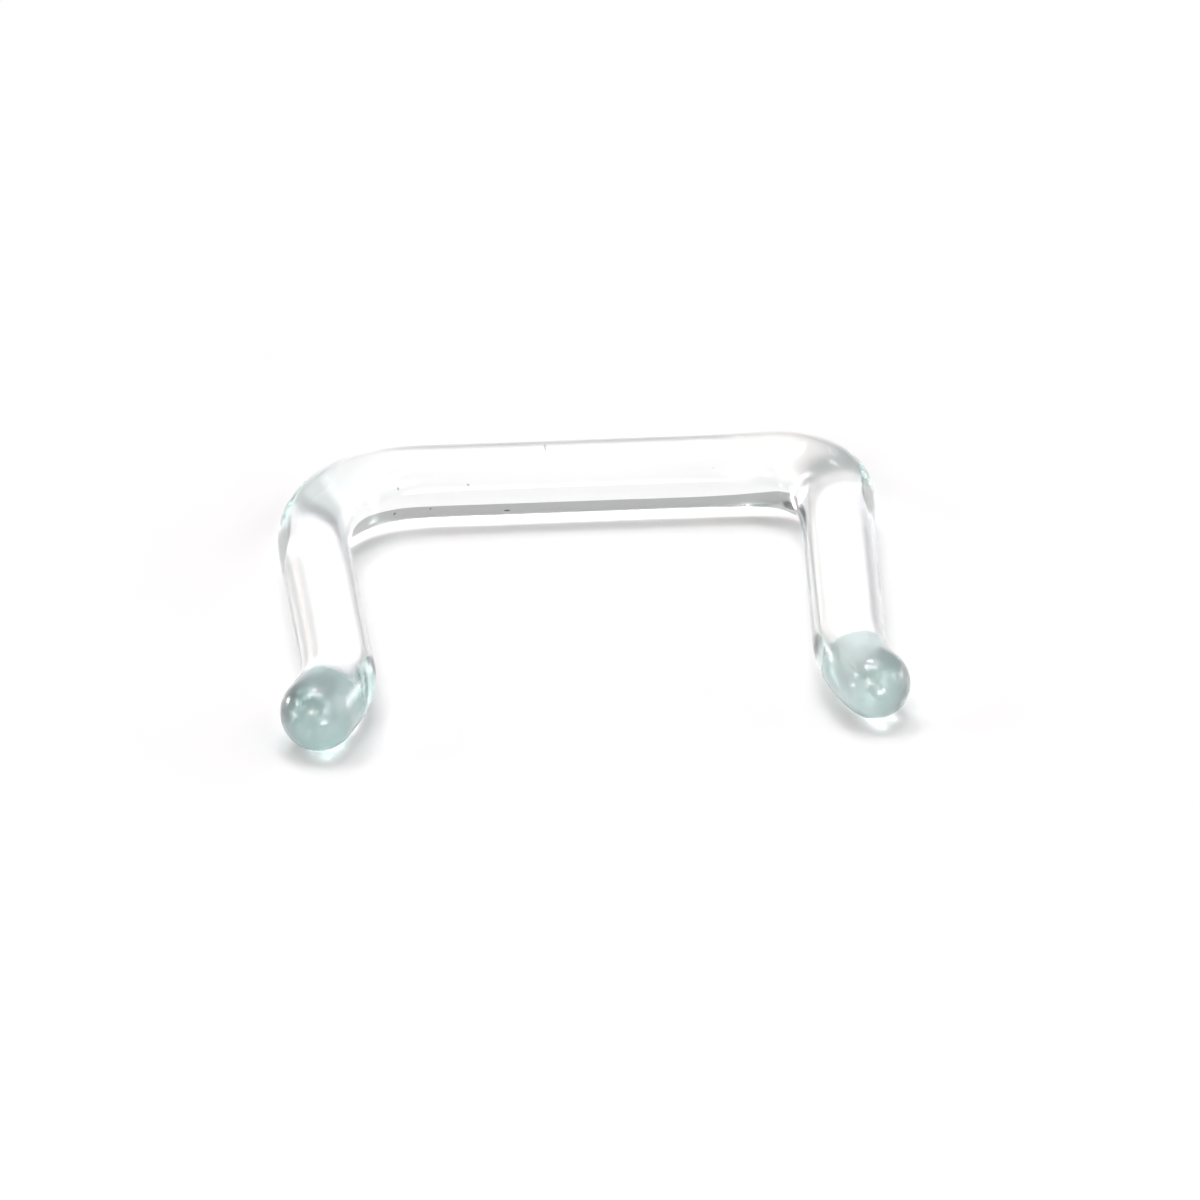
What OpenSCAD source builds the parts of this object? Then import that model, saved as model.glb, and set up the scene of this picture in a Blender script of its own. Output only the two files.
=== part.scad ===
// Septum retainer: one round glass rod bent to a flat U with short out-turned, fire-polished tips.
// Millimetres. X runs along the bar, the legs run towards -Y, and the rod lies flat on Z = 0.
// The origin is the middle of the part's footprint, on the surface it lies on.

/* [Rod] */
// Diameter of the glass rod (14 gauge)
rod_d = 1.6; // [1:0.1:2]
// Straight length of the bar, between the starts of the two corners
bar_straight = 8.15; // [6:0.05:14]

/* [Left side] */
// Radius of the left corner, at the rod's centre line
left_corner_r = 2.16; // [1.05:0.01:3]
// Angle that the left corner turns through (over 90 leans the leg inward)
left_corner_turn = 93; // [80:0.5:105]
// Straight length of the left leg
left_leg = 5.2; // [2:0.05:8]
// Radius of the left tip's outward turn, at the rod's centre line
left_tip_r = 1.85; // [1.05:0.01:2.5]
// Angle of the left tip's outward turn
left_tip_turn = 31; // [10:0.5:80]
// Straight length after the left tip's turn
left_tip_straight = 0.65; // [0.1:0.05:2]

/* [Right side] */
// Radius of the right corner, at the rod's centre line
right_corner_r = 1.26; // [1.05:0.01:3]
// Angle that the right corner turns through
right_corner_turn = 93; // [80:0.5:105]
// Straight length of the right leg
right_leg = 6.05; // [2:0.05:8]
// Radius of the right tip's outward turn, at the rod's centre line
right_tip_r = 1.85; // [1.05:0.01:2.5]
// Angle of the right tip's outward turn
right_tip_turn = 31; // [10:0.5:80]
// Straight length after the right tip's turn
right_tip_straight = 0.35; // [0.1:0.05:2]

/* [Hidden] */
$fn = 96;
rod_r = rod_d / 2;

// Unit vector along a heading, and the one to its left
function along(h) = [cos(h), sin(h)];
function leftward(h) = [-sin(h), cos(h)];

// Where a side ends, from the end of the bar and heading +X: the corner turns it clockwise by ct,
// the leg runs straight, and the tip turns it back by tt
function after_corner(cr, ct) = -cr * leftward(0) + cr * leftward(-ct);
function after_leg(cr, ct, leg) = after_corner(cr, ct) + leg * along(-ct);
function after_turn(cr, ct, leg, tr, tt) =
    after_leg(cr, ct, leg) + tr * leftward(-ct) - tr * leftward(tt - ct);
function side_end(cr, ct, leg, tr, tt, ts) =
    after_turn(cr, ct, leg, tr, tt) + ts * along(tt - ct);

left_end = side_end(left_corner_r, left_corner_turn, left_leg,
                    left_tip_r, left_tip_turn, left_tip_straight);
right_end = side_end(right_corner_r, right_corner_turn, right_leg,
                     right_tip_r, right_tip_turn, right_tip_straight);

// How far a corner's outside reaches past the end of the bar
function corner_reach(cr, ct) = ct >= 90 ? cr : cr * sin(ct);

// The footprint, about the middle of the bar
x_max = bar_straight / 2 + rod_r + max(corner_reach(right_corner_r, right_corner_turn), right_end[0]);
x_min = -bar_straight / 2 - rod_r - max(corner_reach(left_corner_r, left_corner_turn), left_end[0]);
y_max = rod_r;
y_min = min(left_end[1], right_end[1]) - rod_r;

// A straight length of rod along +X
module straight(length) {
    rotate([0, 90, 0]) cylinder(h = length, r = rod_r);
}

// A bend of rod that starts at the origin heading +X; a positive angle turns it to the left
module bend(radius, angle) {
    if (angle > 0)
        translate([0, radius, 0]) rotate([0, 0, -90])
            rotate_extrude(angle = angle) translate([radius, 0]) circle(r = rod_r);
    else
        translate([0, -radius, 0]) rotate([0, 0, 90 + angle])
            rotate_extrude(angle = -angle) translate([radius, 0]) circle(r = rod_r);
}

// The end of the rod: a straight length along +X with a half-round end
module tip(length) {
    rotate([0, 90, 0]) rotate_extrude() {
        square([rod_r, length]);
        translate([0, length]) intersection() {
            circle(r = rod_r);
            square([rod_r, rod_r]);
        }
    }
}

// Moves what follows to the end of a bend
module past_bend(radius, angle) {
    s = angle > 0 ? 1 : -1;
    translate([0, s * radius, 0]) rotate([0, 0, angle]) translate([0, -s * radius, 0]) children();
}

// Corner, leg, outward turn and tip of one side, from the end of the bar and heading +X
module side(cr, ct, leg, tr, tt, ts) {
    bend(cr, -ct);
    past_bend(cr, -ct) {
        straight(leg);
        translate([leg, 0, 0]) {
            bend(tr, tt);
            past_bend(tr, tt) tip(ts);
        }
    }
}

module glass_rod() {
    color([0.80, 0.93, 0.90, 0.45])
        translate([-(x_min + x_max) / 2, -(y_min + y_max) / 2, rod_r]) {
            translate([-bar_straight / 2, 0, 0]) straight(bar_straight);
            translate([bar_straight / 2, 0, 0])
                side(right_corner_r, right_corner_turn, right_leg,
                     right_tip_r, right_tip_turn, right_tip_straight);
            mirror([1, 0, 0]) translate([bar_straight / 2, 0, 0])
                side(left_corner_r, left_corner_turn, left_leg,
                     left_tip_r, left_tip_turn, left_tip_straight);
        }
}

glass_rod();
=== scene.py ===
import math
import bpy
import numpy as np
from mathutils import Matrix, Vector


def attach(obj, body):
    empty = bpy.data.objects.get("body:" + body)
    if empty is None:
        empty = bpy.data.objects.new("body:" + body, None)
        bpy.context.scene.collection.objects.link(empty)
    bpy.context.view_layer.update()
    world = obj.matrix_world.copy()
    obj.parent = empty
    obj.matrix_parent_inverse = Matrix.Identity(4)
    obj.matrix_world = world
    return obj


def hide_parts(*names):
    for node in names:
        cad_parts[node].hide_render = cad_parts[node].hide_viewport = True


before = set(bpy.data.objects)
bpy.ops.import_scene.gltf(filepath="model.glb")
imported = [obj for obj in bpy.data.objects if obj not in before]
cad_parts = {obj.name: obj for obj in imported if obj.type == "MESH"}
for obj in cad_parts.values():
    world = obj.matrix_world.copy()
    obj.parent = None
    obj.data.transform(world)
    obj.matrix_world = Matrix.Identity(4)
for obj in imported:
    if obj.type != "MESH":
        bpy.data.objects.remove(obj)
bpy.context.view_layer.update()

MM = 0.001

# --------------------------------------------------------------------------- the rod
# Lengths in millimetres, seen from above, the bar's middle at (0, 0) and the legs towards -Y. Bent by hand
# in the flame: the bends start and end gradually, and the glass is thicker where a corner was pushed in.
ROD_R = 0.8
HALF_BAR = 4.025
SIDES = {
    "left": dict(corner_r=2.16, corner=93.5, leg=5.15, tip_r=1.85, tip=31.0, end=0.65,
                 ease=0.46, bulge=0.11, bulge_at=-0.66, bulge_w=1.135, tip_size=1.028),
    "right": dict(corner_r=1.28, corner=91.8, leg=5.72, tip_r=3.00, tip=31.3, end=0.03,
                  ease=0.365, bulge=0.315, bulge_at=-0.14, bulge_w=1.23, tip_size=0.962),
}
TIP_EASE = 0.12


def eased(values, sigma, step):
    n = int(math.ceil(4 * sigma / step))
    k = np.exp(-0.5 * (np.arange(-n, n + 1) * step / sigma) ** 2)
    padded = np.concatenate([np.full(n, values[0]), values, np.full(n, values[-1])])
    return np.convolve(padded, k / k.sum(), "valid")


def side_path(s, mirror, step):
    """Points, headings and the two half thicknesses (level, upright) from the bar's middle to a tip's centre."""
    corner, tip = math.radians(s["corner"]), math.radians(s["tip"])
    marks = np.cumsum([HALF_BAR, s["corner_r"] * corner, s["leg"], s["tip_r"] * tip, s["end"]])
    total = marks[-1]
    q = np.linspace(0, total, int(round(total / step)) + 1)
    dq = q[1]
    head = eased(np.interp(q, [0, marks[0], marks[1], total], [0, 0, corner, corner]), s["ease"], dq)
    head -= eased(np.interp(q, [0, marks[2], marks[3], total], [0, 0, tip, tip]), TIP_EASE, dq)
    t = np.column_stack([np.cos(head), -np.sin(head)])
    pts = np.vstack([[0.0, 0.0], np.cumsum((t[1:] + t[:-1]) / 2 * dq, axis=0)])
    middle = (marks[0] + marks[1]) / 2 + s["bulge_at"]
    level = 1 + s["bulge"] * np.exp(-((q - middle) / s["bulge_w"]) ** 2)
    e = np.clip((q - (total - 2.0)) / 2.0, 0, 1)
    e = 1 + (s["tip_size"] - 1) * e * e * (3 - 2 * e)
    if mirror:
        pts = pts * [-1, 1]
        head = -head
    return pts, -head, ROD_R * level * e, ROD_R * e


def rod_path(step=0.05):
    """The whole centre line, left tip to right tip; the middle of its footprint is the origin."""
    l, lh, la, lv = side_path(SIDES["left"], True, step)
    r, rh, ra, rv = side_path(SIDES["right"], False, step)
    pts = np.vstack([l[::-1], r[1:]])
    head = np.concatenate([lh[::-1], rh[1:]])
    level = np.concatenate([la[::-1], ra[1:]])
    upright = np.concatenate([lv[::-1], rv[1:]])
    off = -(pts.min(axis=0) + pts.max(axis=0)) / 2
    return pts + off, head, level, upright, off


def rod_mesh(name, around=128):
    pts, head, level, upright, off = rod_path()
    n = len(pts)
    seg = np.linalg.norm(np.diff(pts, axis=0), axis=1)
    s = np.concatenate([[0], np.cumsum(seg)])          # length along the rod from the left tip's centre
    length = s[-1]
    fi = np.arange(around) / around * 2 * math.pi      # 0 level, on the left of the way; 90 up
    cap = 24
    rows, row_s = [], []

    def ring(i, size=1.0, ahead=0.0):
        t = np.array([math.cos(head[i]), math.sin(head[i])])
        side = np.array([-math.sin(head[i]), math.cos(head[i])])
        c = pts[i] + t * ahead
        xy = c[None] + size * level[i] * np.cos(fi)[:, None] * side[None]
        z = ROD_R + size * upright[i] * np.sin(fi)
        return np.column_stack([xy, z])

    for k in range(1, cap):
        a = math.pi / 2 * (1 - k / cap)
        rows.append(ring(0, math.cos(a), -upright[0] * math.sin(a)))
        row_s.append(-ROD_R * a)
    for i in range(n):
        rows.append(ring(i))
        row_s.append(s[i])
    for k in range(1, cap):
        a = math.pi / 2 * k / cap
        rows.append(ring(n - 1, math.cos(a), upright[-1] * math.sin(a)))
        row_s.append(length + ROD_R * a)
    start = np.array([*(pts[0] - upright[0] * np.array([math.cos(head[0]), math.sin(head[0])])), ROD_R])
    end = np.array([*(pts[-1] + upright[-1] * np.array([math.cos(head[-1]), math.sin(head[-1])])), ROD_R])
    v = np.vstack(rows + [start[None], end[None]]) * MM
    m = len(rows)
    faces, uvs = [], []
    row_s = np.array(row_s)
    for j in range(m - 1):
        a, b = j * around, (j + 1) * around
        for i in range(around):
            k = (i + 1) % around
            faces.append((a + i, a + k, b + k, b + i))
            u0, u1 = row_s[j], row_s[j + 1]
            v0, v1 = i / around, (i + 1) / around
            uvs += [(u0, v0), (u0, v1), (u1, v1), (u1, v0)]
    for i in range(around):
        k = (i + 1) % around
        faces.append((m * around, k, i))
        uvs += [(-ROD_R * math.pi / 2, (i + 0.5) / around), (row_s[0], (i + 1) / around), (row_s[0], i / around)]
        faces.append((m * around + 1, (m - 1) * around + i, (m - 1) * around + k))
        uvs += [(length + ROD_R * math.pi / 2, (i + 0.5) / around), (row_s[-1], i / around), (row_s[-1], (i + 1) / around)]
    me = bpy.data.meshes.new(name)
    me.from_pydata([tuple(p) for p in v], [], faces)
    layer = me.uv_layers.new(name="rod")
    layer.data.foreach_set("uv", np.array(uvs, dtype=np.float32).ravel())
    me.polygons.foreach_set("use_smooth", [True] * len(me.polygons))
    me.update()
    ob = bpy.data.objects.new(name, me)
    bpy.context.scene.collection.objects.link(ob)
    return ob, length


glass, ROD_LENGTH = rod_mesh("glass_rod_drawn")
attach(glass, "root")
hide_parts("glass_rod")

# --------------------------------------------------------------------------- materials


def material(name):
    m = bpy.data.materials.new(name)
    m.use_nodes = True
    m.node_tree.nodes.clear()
    return m, m.node_tree.nodes, m.node_tree.links


ROUGH_BODY = 0.045
ROUGH_TIP = 0.34
TIP_TINT = (0.65, 0.797, 0.782, 1)
LEFT_TIP_TINT = (0.40, 0.60, 0.58, 1)
TIP_EDGE_TINT = (0.54, 0.66, 0.65, 1)      # where the frosted glass begins, on the right
MILKY_LEFT, MILKY_RIGHT = 0.62, 0.95     # how far the softly frosted glass reaches back from each tip's centre
ROUND = 2 * math.pi * ROD_R
# small pits and scratches: length along the rod, way round, half length, half width round, depth in micrometres
MARKS = [
    (9.90, 0.424, 0.042, 0.0084, 16.0),
    (11.62, 0.430, 0.040, 0.0080, 14.0),
    (9.74, 0.541, 0.055, 0.0105, 20.0),
    (10.77, 0.541, 0.036, 0.0072, 12.0),
    (12.48, 0.576, 0.075, 0.0100, 16.0),
    (13.37, 0.255, 0.028, 0.0340, 10.0),
    (17.05, 0.395, 0.030, 0.0060, 9.0),
]


def glass_material():
    m, nodes, links = material("clear_glass")
    out = nodes.new("ShaderNodeOutputMaterial")
    p = nodes.new("ShaderNodeBsdfPrincipled")
    p.inputs["IOR"].default_value = 1.5
    p.inputs["Transmission Weight"].default_value = 1.0
    p.inputs["Coat Roughness"].default_value = 0.17
    p.inputs["Coat IOR"].default_value = 1.7
    links.new(p.outputs["BSDF"], out.inputs["Surface"])
    v = nodes.new("ShaderNodeVolumeAbsorption")
    v.inputs["Color"].default_value = (0.70, 0.88, 0.86, 1)
    v.inputs["Density"].default_value = 60.0
    links.new(v.outputs["Volume"], out.inputs["Volume"])

    def put(socket, x):
        if hasattr(x, "links"):
            links.new(x, socket)
        else:
            socket.default_value = x

    def math_node(op, *xs):
        n = nodes.new("ShaderNodeMath")
        n.operation = op
        for i, x in enumerate(xs):
            put(n.inputs[i], x)
        return n.outputs["Value"]

    def vector_node(op, *xs):
        n = nodes.new("ShaderNodeVectorMath")
        n.operation = op
        for i, x in enumerate(xs):
            put(n.inputs[i], x)
        return n.outputs["Value" if op in ("LENGTH", "DOT_PRODUCT") else "Vector"]

    def smooth(x, x0, x1, y0=0.0, y1=1.0):
        n = nodes.new("ShaderNodeMapRange")
        n.interpolation_type = "SMOOTHSTEP"
        for i, y in enumerate((x, x0, x1, y0, y1)):
            put(n.inputs[i], y)
        return n.outputs["Result"]

    def noise(vector, scale, detail=2.0):
        n = nodes.new("ShaderNodeTexNoise")
        links.new(vector, n.inputs["Vector"])
        n.inputs["Scale"].default_value = scale
        n.inputs["Detail"].default_value = detail
        return n.outputs[0]

    # u is the length along the rod in millimetres, v the way round it from 0 to 1
    uv = nodes.new("ShaderNodeUVMap")
    uv.uv_map = "rod"
    split = nodes.new("ShaderNodeSeparateXYZ")
    links.new(uv.outputs["UV"], split.inputs["Vector"])
    u, way = split.outputs["X"], split.outputs["Y"]
    turn = math_node("MULTIPLY", way, 2 * math.pi)
    wrap = nodes.new("ShaderNodeCombineXYZ")           # seamless the whole way round, in millimetres
    put(wrap.inputs["X"], u)
    put(wrap.inputs["Y"], math_node("MULTIPLY", math_node("COSINE", turn), ROD_R))
    put(wrap.inputs["Z"], math_node("MULTIPLY", math_node("SINE", turn), ROD_R))
    wrap = wrap.outputs["Vector"]

    # the melted tips are softly frosted and mottled, under a smooth skin
    left = smooth(u, MILKY_LEFT + 0.16, MILKY_LEFT - 0.16)
    right = smooth(u, ROD_LENGTH - MILKY_RIGHT - 0.11, ROD_LENGTH - MILKY_RIGHT + 0.11)
    milky = math_node("MAXIMUM", left, right)
    mottle = noise(wrap, 2.2, 3.0)
    rough = math_node("MULTIPLY_ADD", math_node("SUBTRACT", mottle, 0.5), 0.22, ROUGH_TIP)
    mix = nodes.new("ShaderNodeMix")
    mix.data_type = "FLOAT"
    put(mix.inputs[0], milky)
    mix.inputs[2].default_value = ROUGH_BODY
    put(mix.inputs[3], rough)
    near = smooth(math_node("MINIMUM", u, math_node("SUBTRACT", ROD_LENGTH, u)), 1.7, 0.8, 0.0, 0.20)
    links.new(math_node("MAXIMUM", mix.outputs[0], near), p.inputs["Roughness"])
    links.new(milky, p.inputs["Coat Weight"])

    # dirt sits in the pits; the frosted glass is faintly teal
    pits = 0.0
    for mu, mv, lu, lv, depth in MARKS:
        d = vector_node("SUBTRACT", uv.outputs["UV"], (mu, mv, 0.0))
        d = vector_node("LENGTH", vector_node("MULTIPLY", d, (1 / lu, 1 / lv, 0.0)))
        pits = math_node("MAXIMUM", pits, smooth(d, 1.1, 0.35, 0.0, depth / 20))
    tint = nodes.new("ShaderNodeMix")
    tint.data_type = "RGBA"
    put(tint.inputs[0], milky)
    tint.inputs[6].default_value = (1, 1, 1, 1)
    shade = nodes.new("ShaderNodeMix")
    shade.data_type = "RGBA"
    put(shade.inputs[0], smooth(u, ROD_LENGTH - 0.35, ROD_LENGTH - 0.90))
    shade.inputs[6].default_value = TIP_TINT
    shade.inputs[7].default_value = TIP_EDGE_TINT
    side = nodes.new("ShaderNodeMix")
    side.data_type = "RGBA"
    put(side.inputs[0], smooth(u, 0.4 * ROD_LENGTH, 0.6 * ROD_LENGTH))
    side.inputs[6].default_value = LEFT_TIP_TINT
    links.new(shade.outputs[2], side.inputs[7])
    links.new(side.outputs[2], tint.inputs[7])
    dirty = nodes.new("ShaderNodeMix")
    dirty.data_type = "RGBA"
    put(dirty.inputs[0], pits)
    links.new(tint.outputs[2], dirty.inputs[6])
    dirty.inputs[7].default_value = (0.10, 0.10, 0.10, 1)
    links.new(dirty.outputs[2], p.inputs["Base Color"])

    # heights in micrometres: draw lines along the rod, pits and scratches, unevenly melted tips
    lines = noise(vector_node("MULTIPLY", wrap, (0.10, 1.0, 1.0)), 3.4, 2.0)
    height = math_node("MULTIPLY", math_node("SUBTRACT", lines, 0.5), 2.4)
    height = math_node("MULTIPLY_ADD", pits, -18.0, height)
    # one fine scratch across the right tip
    d = vector_node("SUBTRACT", uv.outputs["UV"], (ROD_LENGTH + 0.483, 0.230, 0.0))
    d = vector_node("LENGTH", vector_node("MULTIPLY", d, (1 / 0.024, 1 / 0.048, 0.0)))
    scratch = smooth(d, 1.1, 0.35)
    bump = nodes.new("ShaderNodeBump")
    bump.inputs["Distance"].default_value = 1e-6
    links.new(height, bump.inputs["Height"])
    links.new(bump.outputs["Normal"], p.inputs["Normal"])
    uneven = noise(wrap, 4.5, 1.0)
    skin = nodes.new("ShaderNodeBump")
    skin.inputs["Distance"].default_value = 1e-6
    uneven = math_node("MULTIPLY_ADD", math_node("SUBTRACT", uneven, 0.5), 13.0, height)
    links.new(math_node("MULTIPLY_ADD", scratch, -14.0, uneven), skin.inputs["Height"])
    links.new(skin.outputs["Normal"], p.inputs["Coat Normal"])
    return m


glass.data.materials.append(glass_material())

# --------------------------------------------------------------------------- floor
me = bpy.data.meshes.new("floor")
S = 0.6
FLOOR_Z = -0.00012
me.from_pydata([(-S, -S, FLOOR_Z), (S, -S, FLOOR_Z), (S, S, FLOOR_Z), (-S, S, FLOOR_Z)], [], [(0, 1, 2, 3)])
floor = bpy.data.objects.new("floor", me)
bpy.context.scene.collection.objects.link(floor)
m, nodes, links = material("white_floor")
out = nodes.new("ShaderNodeOutputMaterial")
d = nodes.new("ShaderNodeBsdfDiffuse")
d.inputs["Color"].default_value = (0.84, 0.84, 0.84, 1)
links.new(d.outputs["BSDF"], out.inputs["Surface"])
me.materials.append(m)

# --------------------------------------------------------------------------- light
# A pale room, dark overhead, and soft lights around it with no hard edge. Each light: elevation above the
# floor and azimuth from +Y (behind the part) towards +X, its spread, all in degrees, then its radiance.
LIGHTS = [
    (79.1, 272.9, 3.0, (11.13, 11.20, 11.56)),
    (66.6, 277.1, 3.5, (16.37, 14.83, 14.53)),
    (67.5, 335.3, 3.5, (15.69, 15.55, 15.65)),
    (77.4, 13.0, 9.9, (2.01, 1.53, 1.71)),
    (48.5, 133.6, 3.2, (7.73, 8.28, 8.30)),
    (63.0, 129.4, 3.2, (6.40, 6.85, 7.02)),
    (30.0, 190.4, 3.3, (4.75, 4.21, 4.11)),
    (33.0, 208.5, 4.5, (12.38, 10.89, 9.79)),
    (31.9, 99.6, 17.3, (1.73, 1.79, 1.85)),
    (29.0, 270.5, 3.6, (12.24, 12.65, 12.69)),
    (-0.4, 306.0, 3.9, (26.11, 25.90, 25.92)),
    (-2.4, 166.2, 7.6, (17.03, 17.36, 17.20)),
    (0.2, 70.1, 7.2, (8.15, 7.47, 7.59)),
    (-1.2, 259.2, 5.3, (14.09, 13.77, 13.64)),
    (34.4, 151.6, 6.6, (4.26, 4.42, 4.26)),
    (86.8, 134.2, 4.4, (12.38, 12.87, 12.90)),
]
WORLD_LOW, WORLD_HIGH = 0.478, 0.038     # below 28 degrees and above 52 degrees

world = bpy.data.worlds.new("studio")
bpy.context.scene.world = world
world.use_nodes = True
wn, wl = world.node_tree.nodes, world.node_tree.links
tc = wn.new("ShaderNodeTexCoord")
toward = tc.outputs["Generated"]
sep = wn.new("ShaderNodeSeparateXYZ")
wl.new(toward, sep.inputs["Vector"])
ramp = wn.new("ShaderNodeMapRange")
ramp.interpolation_type = "SMOOTHSTEP"
ramp.inputs["From Min"].default_value = math.sin(math.radians(28))
ramp.inputs["From Max"].default_value = math.sin(math.radians(52))
ramp.inputs["To Min"].default_value = WORLD_LOW
ramp.inputs["To Max"].default_value = WORLD_HIGH
wl.new(sep.outputs["Z"], ramp.inputs["Value"])
total = ramp.outputs["Result"]
for elevation, azimuth, spread, radiance in LIGHTS:
    e, a = math.radians(elevation), math.radians(azimuth)
    dot = wn.new("ShaderNodeVectorMath")
    dot.operation = "DOT_PRODUCT"
    wl.new(toward, dot.inputs[0])
    dot.inputs[1].default_value = (math.sin(a) * math.cos(e), math.cos(a) * math.cos(e), math.sin(e))
    k = 1 / math.radians(spread) ** 2
    power = wn.new("ShaderNodeMath")
    power.operation = "MULTIPLY_ADD"
    wl.new(dot.outputs["Value"], power.inputs[0])
    power.inputs[1].default_value = k
    power.inputs[2].default_value = -k
    fall = wn.new("ShaderNodeMath")
    fall.operation = "EXPONENT"
    wl.new(power.outputs["Value"], fall.inputs[0])
    add = wn.new("ShaderNodeVectorMath")
    add.operation = "MULTIPLY_ADD"
    wl.new(fall.outputs["Value"], add.inputs[0])
    add.inputs[1].default_value = radiance
    wl.new(total, add.inputs[2])
    total = add.outputs["Vector"]
bg = wn["Background"]
wl.new(total, bg.inputs["Color"])
bg.inputs["Strength"].default_value = 1.0

# --------------------------------------------------------------------------- camera
cam = bpy.data.cameras.new("camera")
cam.sensor_width = 36.0
cam.lens = 334.53
cam.clip_start = 0.001
cam.clip_end = 10.0
cam_ob = bpy.data.objects.new("camera", cam)
at = Vector((-13.2997, -203.0867, 133.5528)) * MM
to = Vector((0.3999, 0.7028, 0.0)) * MM
cam_ob.location = at
cam_ob.rotation_euler = (to - at).to_track_quat("-Z", "Y").to_euler()
bpy.context.scene.collection.objects.link(cam_ob)
bpy.context.scene.camera = cam_ob

sc = bpy.context.scene
sc.view_settings.view_transform = "Standard"
sc.view_settings.look = "None"
sc.cycles.use_denoising = True
sc.cycles.denoiser = "OPENIMAGEDENOISE"
sc.cycles.max_bounces = 24
sc.cycles.transmission_bounces = 24
sc.cycles.glossy_bounces = 16
sc.cycles.diffuse_bounces = 4
sc.cycles.caustics_refractive = True
sc.cycles.caustics_reflective = True
sc.cycles.blur_glossy = 0.0
sc.cycles.sample_clamp_indirect = 0.0
